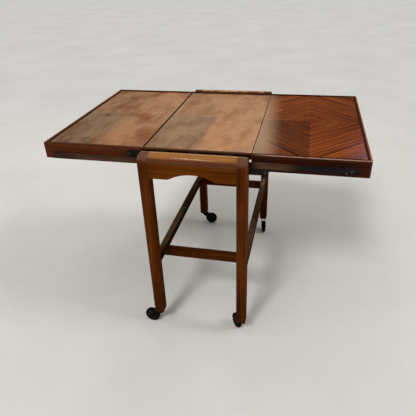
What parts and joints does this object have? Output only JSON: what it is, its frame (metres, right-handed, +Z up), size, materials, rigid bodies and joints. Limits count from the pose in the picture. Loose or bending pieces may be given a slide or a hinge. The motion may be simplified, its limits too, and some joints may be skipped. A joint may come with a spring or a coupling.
{
  "type": "drop leaf tea trolley",
  "caption": "Wooden tea trolley on castors whose two leaves swing down on parallel steel arms and stow one on the other under a fixed centre panel.",
  "frame": {"origin": "on the floor, under the middle of the open table", "axes": "+Z up; X across the open leaves, right leaf at +X; Y along the trolley, front end frame at -Y"},
  "size_m": [1.062, 0.79, 0.72],
  "materials": {
    "frame_wood": "polished mahogany, mid brown, grain along each piece",
    "stretcher_wood": "duller mahogany, dusty on top",
    "rim_wood": "dark red-brown polished mahogany",
    "plain_wood": "unpolished hardwood",
    "centre_veneer": "quarter-matched striped veneer, glossy polish, light",
    "left_veneer": "quarter-matched striped veneer, glossy polish, light brown",
    "right_veneer": "quarter-matched striped veneer, glossy polish, deep red-brown",
    "black_steel": "blackened flat steel bar",
    "bright_steel": "dull steel pivot studs",
    "castor_iron": "blackened pressed steel",
    "wheel_rubber": "hard black rubber"
  },
  "bodies": {
    "frame": {"front_left_leg": "frame_wood", "front_right_leg": "frame_wood", "front_top_rail": "frame_wood", "front_cross_stretcher": "stretcher_wood", "centre_front_rim": "rim_wood", "frame_pivot_studs_front": "bright_steel", "rear_left_leg": "frame_wood", "rear_right_leg": "frame_wood", "rear_top_rail": "frame_wood", "rear_cross_stretcher": "stretcher_wood", "centre_rear_rim": "rim_wood", "frame_pivot_studs_rear": "bright_steel", "left_low_rail": "stretcher_wood", "right_low_rail": "stretcher_wood", "centre_board": "centre_veneer", "centre_left_bearer": "plain_wood", "centre_right_bearer": "plain_wood", "centre_straps": "black_steel", "castor_plates": "castor_iron"},
    "left_outer_arms": {"left_outer_arm_front": "black_steel", "left_outer_arm_rear": "black_steel"},
    "left_inner_arms": {"left_inner_arm_front": "black_steel", "left_inner_arm_rear": "black_steel"},
    "left_leaf": {"left_leaf_board": "left_veneer", "left_leaf_batten": "plain_wood", "left_leaf_front_rail": "rim_wood", "left_leaf_rear_rail": "rim_wood", "left_leaf_outer_rail": "rim_wood", "left_leaf_inner_rail": "rim_wood", "left_leaf_pivot_plates": "black_steel", "left_leaf_pivot_studs": "bright_steel"},
    "right_outer_arms": {"right_outer_arm_front": "black_steel", "right_outer_arm_rear": "black_steel"},
    "right_inner_arms": {"right_inner_arm_front": "black_steel", "right_inner_arm_rear": "black_steel"},
    "right_leaf": {"right_leaf_board": "right_veneer", "right_leaf_batten": "plain_wood", "right_leaf_front_rail": "rim_wood", "right_leaf_rear_rail": "rim_wood", "right_leaf_outer_rail": "rim_wood", "right_leaf_inner_rail": "rim_wood", "right_leaf_pivot_plates": "black_steel", "right_leaf_pivot_studs": "bright_steel"},
    "front_left_castor": {"front_left_castor_fork": "castor_iron", "front_left_castor_axle": "castor_iron"},
    "front_left_wheel": {"front_left_castor_wheel": "wheel_rubber"},
    "front_right_castor": {"front_right_castor_fork": "castor_iron", "front_right_castor_axle": "castor_iron"},
    "front_right_wheel": {"front_right_castor_wheel": "wheel_rubber"},
    "rear_left_castor": {"rear_left_castor_fork": "castor_iron", "rear_left_castor_axle": "castor_iron"},
    "rear_left_wheel": {"rear_left_castor_wheel": "wheel_rubber"},
    "rear_right_castor": {"rear_right_castor_fork": "castor_iron", "rear_right_castor_axle": "castor_iron"},
    "rear_right_wheel": {"rear_right_castor_wheel": "wheel_rubber"}
  },
  "joints": [
    {"name": "right_leaf_drop", "type": "hinge", "parent": "frame", "child": "right_outer_arms", "pos_m": [0.11446, 0, 0.691], "axis": [0, 1, 0], "range_deg": [0, 89.2]},
    {"name": "right_leaf_level", "type": "hinge", "parent": "right_outer_arms", "child": "right_leaf", "pos_m": [0.474, 0, 0.691], "axis": [0, 1, 0], "range_deg": [-89.2, 0]},
    {"name": "right_inner_arm_swing", "type": "hinge", "parent": "frame", "child": "right_inner_arms", "pos_m": [-0.13553, 0, 0.6695], "axis": [0, 1, 0], "range_deg": [0, 89.2]},
    {"name": "left_leaf_drop", "type": "hinge", "parent": "frame", "child": "left_outer_arms", "pos_m": [-0.1664, 0, 0.6805], "axis": [0, -1, 0], "range_deg": [0, 98.77]},
    {"name": "left_leaf_level", "type": "hinge", "parent": "left_outer_arms", "child": "left_leaf", "pos_m": [-0.474, 0, 0.6805], "axis": [0, -1, 0], "range_deg": [-98.77, 0]},
    {"name": "left_inner_arm_swing", "type": "hinge", "parent": "frame", "child": "left_inner_arms", "pos_m": [0.0901, 0, 0.7025], "axis": [0, -1, 0], "range_deg": [0, 98.77]},
    {"name": "front_left_swivel", "type": "hinge", "parent": "frame", "child": "front_left_castor", "pos_m": [-0.158, -0.3755, 0.0618], "axis": [0, 0, 1], "continuous": true},
    {"name": "front_left_wheel_spin", "type": "hinge", "parent": "front_left_castor", "child": "front_left_wheel", "pos_m": [-0.19591, -0.37285, 0.029], "axis": [-0.0698, -0.9976, 0], "continuous": true},
    {"name": "front_right_swivel", "type": "hinge", "parent": "frame", "child": "front_right_castor", "pos_m": [0.158, -0.3755, 0.0618], "axis": [0, 0, 1], "continuous": true},
    {"name": "front_right_wheel_spin", "type": "hinge", "parent": "front_right_castor", "child": "front_right_wheel", "pos_m": [0.1362, -0.34437, 0.029], "axis": [-0.8192, -0.5736, 0], "continuous": true},
    {"name": "rear_left_swivel", "type": "hinge", "parent": "frame", "child": "rear_left_castor", "pos_m": [-0.158, 0.3755, 0.0618], "axis": [0, 0, 1], "continuous": true},
    {"name": "rear_left_wheel_spin", "type": "hinge", "parent": "rear_left_castor", "child": "rear_left_wheel", "pos_m": [-0.12005, 0.37749, 0.029], "axis": [-0.0523, 0.9986, 0], "continuous": true},
    {"name": "rear_right_swivel", "type": "hinge", "parent": "frame", "child": "rear_right_castor", "pos_m": [0.158, 0.3755, 0.0618], "axis": [0, 0, 1], "continuous": true},
    {"name": "rear_right_wheel_spin", "type": "hinge", "parent": "rear_right_castor", "child": "rear_right_wheel", "pos_m": [0.1646, 0.33808, 0.029], "axis": [0.9848, 0.1736, 0], "continuous": true}
  ],
  "couplings": [
    {"joint": "right_leaf_level", "follows": "right_leaf_drop", "ratio": -1},
    {"joint": "right_inner_arm_swing", "follows": "right_leaf_drop", "ratio": 1},
    {"joint": "left_leaf_level", "follows": "left_leaf_drop", "ratio": -1},
    {"joint": "left_inner_arm_swing", "follows": "left_leaf_drop", "ratio": 1}
  ]
}
